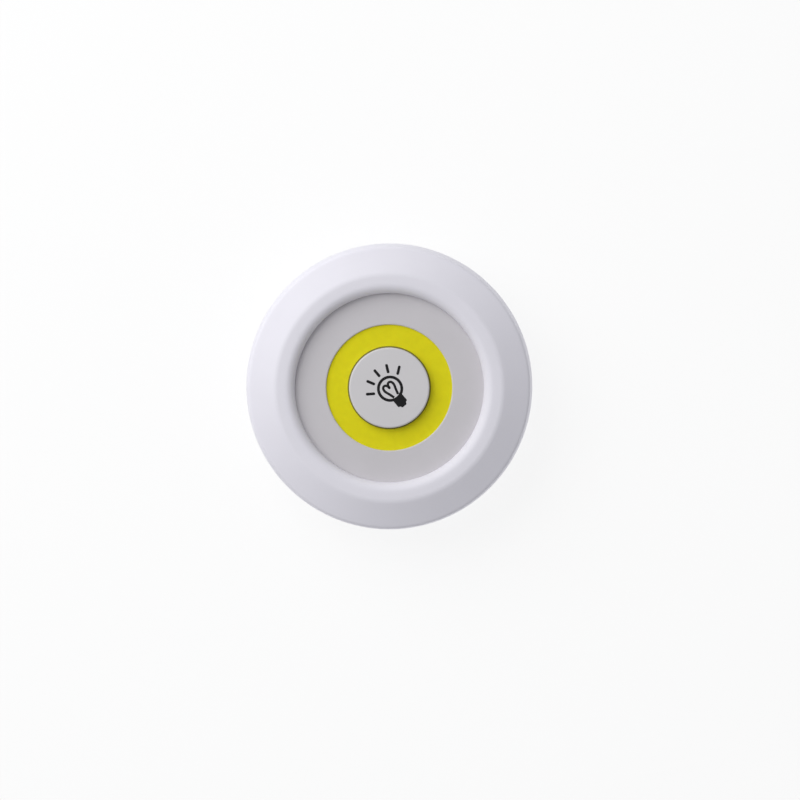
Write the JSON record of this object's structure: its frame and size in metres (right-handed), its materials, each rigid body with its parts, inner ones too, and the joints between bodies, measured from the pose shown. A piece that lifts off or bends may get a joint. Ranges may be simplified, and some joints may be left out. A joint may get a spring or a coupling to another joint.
{
  "type": "cabinet light",
  "caption": "Round battery cabinet light: sloped white bezel, grey face panel, yellow ring light, push button in the middle, battery bay behind a hinged door.",
  "frame": {"origin": "centre of the flat back face that rests on a surface or a wall", "axes": "+Z out of the lit face, +Y towards the top of the light as seen from the front, +X to the right"},
  "size_m": [0.088, 0.088, 0.025],
  "materials": {
    "white_plastic": "fine satin moulding",
    "panel_plastic": "satin",
    "button_plastic": "satin",
    "phosphor": "soft gloss silicone",
    "chip_yellow": "matt",
    "dam_silicone": "soft gloss",
    "silicone_pad": "matt",
    "board_aluminium": "white solder mask edge",
    "solder": "bright",
    "zinc_steel": "zinc plated",
    "spring_steel": "drawn wire",
    "contact_nickel": "nickel plated",
    "black_plastic": "matt moulding",
    "board_laminate": "solder mask",
    "chip_ceramic": "matt",
    "capacitor_tan": "matt",
    "lead_red": "vinyl",
    "lead_black": "vinyl",
    "cell_sleeve": "shrink sleeve over steel"
  },
  "bodies": {
    "housing": {"battery_cell_1": "cell_sleeve", "battery_cell_2": "cell_sleeve", "battery_cell_3": "cell_sleeve", "battery_lead_black": "lead_black", "battery_lead_red": "lead_red", "board_screws": "zinc_steel", "bridge_contact_bottom": "contact_nickel", "bridge_contact_top": "contact_nickel", "capacitor": "capacitor_tan", "carrier_screws": "zinc_steel", "case_screws": "zinc_steel", "chip_resistors": "chip_ceramic", "circuit_board": "board_laminate", "cob_board": "board_aluminium", "contact_spring_1": "contact_nickel", "contact_spring_2": "contact_nickel", "contact_spring_3": "contact_nickel", "driver_chip": "black_plastic", "face_panel": "panel_plastic", "front_bezel": "white_plastic", "inner_dam": "dam_silicone", "led_chips": "chip_yellow", "led_lead_black": "lead_black", "led_lead_red": "lead_red", "light_carrier": "white_plastic", "negative_contact": "contact_nickel", "outer_dam": "dam_silicone", "phosphor_ring": "phosphor", "positive_contact": "contact_nickel", "rear_housing": "white_plastic", "return_spring": "spring_steel", "solder_joints": "solder", "switch_body": "black_plastic", "thermal_pad": "silicone_pad"},
    "button": {"button_cap": "button_plastic", "switch_plunger": "black_plastic"},
    "door": {"battery_door": "white_plastic"}
  },
  "joints": [
    {"name": "button_press", "type": "slide", "parent": "housing", "child": "button", "axis": [0, 0, -1], "range_m": [0, 0.0012], "stiffness_N_per_m": 800, "springref_m": -0.0015, "deforming": ["return_spring"]},
    {"name": "door_swing", "type": "hinge", "parent": "housing", "child": "door", "pos_m": [0, -0.0253, 0.00015], "axis": [-1, 0, 0], "range_deg": [0, 75]}
  ]
}
